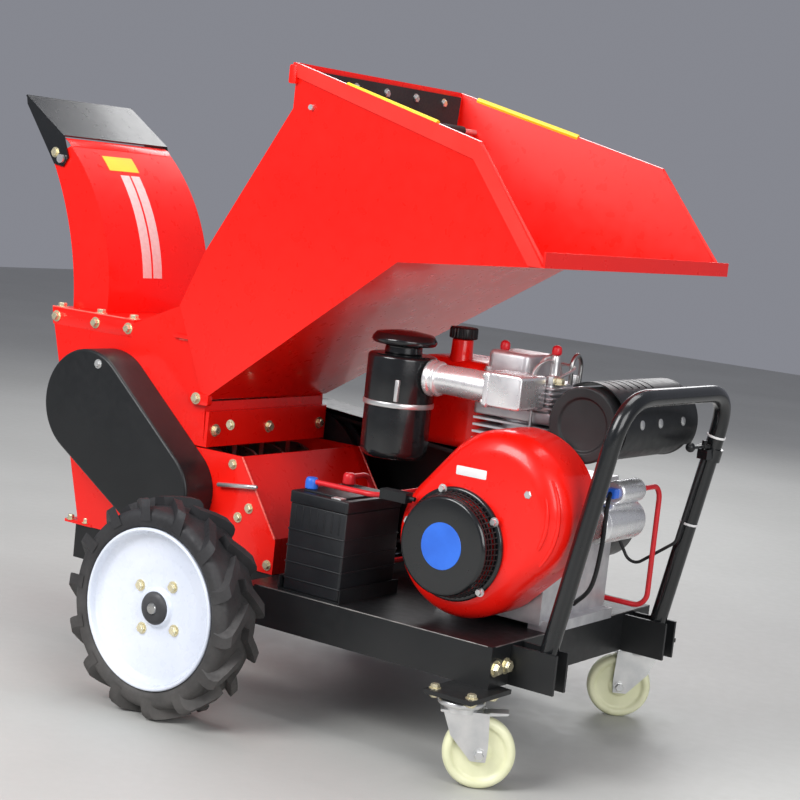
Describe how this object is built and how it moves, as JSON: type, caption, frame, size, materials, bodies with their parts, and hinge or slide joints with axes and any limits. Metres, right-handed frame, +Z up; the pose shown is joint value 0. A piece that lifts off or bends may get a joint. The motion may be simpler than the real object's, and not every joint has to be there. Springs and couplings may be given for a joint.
{
  "type": "wood chipper",
  "caption": "Wheeled wood chipper with a diesel engine, a flared feed hopper, a curved discharge chute, belt drive, push handle and two braked casters.",
  "frame": {"origin": "on the ground, midway along and across the machine", "axes": "+X towards the push handle, +Y to the left of someone facing +X, +Z up"},
  "size_m": [1.532, 1, 1.198],
  "materials": {
    "red_paint": "gloss",
    "black_paint": "satin",
    "white_paint": "gloss",
    "tyre_rubber": "matte",
    "cream_nylon": "satin",
    "zinc": "satin",
    "machined_steel": "satin",
    "cast_iron": "matte",
    "cast_aluminium": "satin",
    "battery_black": "satin",
    "terminal_plastic": "gloss",
    "black_plastic": "satin",
    "belt_rubber": "matte",
    "curtain_rubber": "matte",
    "cable_red": "satin",
    "cable_black": "satin"
  },
  "bodies": {
    "chassis": {"anvil_bar": "machined_steel", "battery_case": "battery_black", "battery_leads": "cable_red", "battery_terminals": "terminal_plastic", "belt_guard_left": "black_paint", "belt_guard_right": "black_paint", "chute_curved_plates": "red_paint", "chute_flange": "red_paint", "chute_side_plates": "red_paint", "crankcase": "cast_iron", "cylinder_barrel": "cast_aluminium", "cylinder_head": "cast_aluminium", "deck_plate": "black_paint", "drive_axle": "machined_steel", "fan_shroud": "red_paint", "filter_bowl": "black_paint", "filter_lid": "black_paint", "frame_bolts": "zinc", "frame_rails": "black_paint", "fuel_tank": "red_paint", "handle_tube": "black_paint", "hinge_pins": "zinc", "hopper_back": "red_paint", "hopper_floor": "red_paint", "hopper_rim": "red_paint", "hopper_sides": "red_paint", "intake_elbow": "cast_aluminium", "lower_side_plates": "red_paint", "lower_wrap_plates": "red_paint", "main_belt": "belt_rubber", "muffler_drum": "black_paint", "muffler_shield": "black_paint", "recoil_cover": "black_plastic", "recoil_grip": "black_plastic", "shaft_bearings": "cast_iron", "starter_motor": "cast_aluminium", "throttle_cable": "cable_black", "throttle_clamp": "black_paint", "transfer_belt": "belt_rubber", "upper_side_plates": "red_paint", "upper_wrap_plates": "red_paint"},
    "wheel_right": {"drive_rim_right": "white_paint", "drive_tyre_right": "tyre_rubber"},
    "wheel_left": {"drive_rim_left": "white_paint", "drive_tyre_left": "tyre_rubber"},
    "swivel_right": {"caster_fork_right": "zinc"},
    "swivel_left": {"caster_fork_left": "zinc"},
    "roller_right": {"caster_wheel_right": "cream_nylon"},
    "roller_left": {"caster_wheel_left": "cream_nylon"},
    "pedal_right": {"caster_pedal_right": "zinc"},
    "pedal_left": {"caster_pedal_left": "zinc"},
    "mill": {"mill_rotor": "machined_steel", "mill_pulleys": "cast_iron"},
    "drum": {"chipper_drum": "machined_steel", "drum_knives": "machined_steel"},
    "crank": {"crank_flywheel": "machined_steel"},
    "deflector": {"tip_deflector": "black_paint"},
    "curtain": {"feed_curtain": "curtain_rubber"},
    "throttle": {"throttle_lever": "black_plastic"},
    "tank_cap": {"fuel_cap": "black_plastic"}
  },
  "joints": [
    {"name": "wheel_right_spin", "type": "hinge", "parent": "chassis", "child": "wheel_right", "pos_m": [0, -0.45, 0.2], "axis": [0, 1, 0], "continuous": true},
    {"name": "caster_right_swivel", "type": "hinge", "parent": "chassis", "child": "swivel_right", "pos_m": [0.575, -0.33, 0.15], "axis": [0, 0, 1], "continuous": true},
    {"name": "caster_right_roll", "type": "hinge", "parent": "swivel_right", "child": "roller_right", "pos_m": [0.6065, -0.30875, 0.0625], "axis": [-0.5592, 0.829, 0], "continuous": true},
    {"name": "caster_right_brake_pedal", "type": "hinge", "parent": "swivel_right", "child": "pedal_right", "pos_m": [0.61148, -0.3054, 0.131], "axis": [-0.5592, 0.829, 0], "range_deg": [0, 14]},
    {"name": "wheel_left_spin", "type": "hinge", "parent": "chassis", "child": "wheel_left", "pos_m": [0, 0.45, 0.2], "axis": [0, 1, 0], "continuous": true},
    {"name": "caster_left_swivel", "type": "hinge", "parent": "chassis", "child": "swivel_left", "pos_m": [0.575, 0.33, 0.15], "axis": [0, 0, 1], "continuous": true},
    {"name": "caster_left_roll", "type": "hinge", "parent": "swivel_left", "child": "roller_left", "pos_m": [0.5435, 0.30875, 0.0625], "axis": [0.5592, -0.829, 0], "continuous": true},
    {"name": "caster_left_brake_pedal", "type": "hinge", "parent": "swivel_left", "child": "pedal_left", "pos_m": [0.53852, 0.3054, 0.131], "axis": [0.5592, -0.829, 0], "range_deg": [0, 14]},
    {"name": "mill_spin", "type": "hinge", "parent": "chassis", "child": "mill", "pos_m": [-0.22, 0, 0.36], "axis": [0, 1, 0], "continuous": true},
    {"name": "drum_spin", "type": "hinge", "parent": "chassis", "child": "drum", "pos_m": [-0.415, 0, 0.5], "axis": [0, 1, 0], "continuous": true},
    {"name": "crank_spin", "type": "hinge", "parent": "chassis", "child": "crank", "pos_m": [0.474, 0, 0.39], "axis": [0, 1, 0], "continuous": true},
    {"name": "deflector_tilt", "type": "hinge", "parent": "chassis", "child": "deflector", "pos_m": [-0.645, 0, 0.978], "axis": [0, 1, 0], "range_deg": [-25, 45]},
    {"name": "curtain_swing", "type": "hinge", "parent": "chassis", "child": "curtain", "pos_m": [0.088, 0, 1.12], "axis": [0, 1, 0], "range_deg": [-45, 20]},
    {"name": "throttle_turn", "type": "hinge", "parent": "chassis", "child": "throttle", "pos_m": [0.72652, 0.173, 0.585], "axis": [0, 0, 1], "range_deg": [-8, 52]},
    {"name": "tank_cap_turn", "type": "hinge", "parent": "chassis", "child": "tank_cap", "pos_m": [0.288, 0, 0.732], "axis": [0, 0, 1], "range_deg": [0, 120]}
  ],
  "couplings": [
    {"joint": "crank_spin", "follows": "mill_spin", "ratio": 2.7},
    {"joint": "drum_spin", "follows": "mill_spin", "ratio": 0.78571}
  ]
}
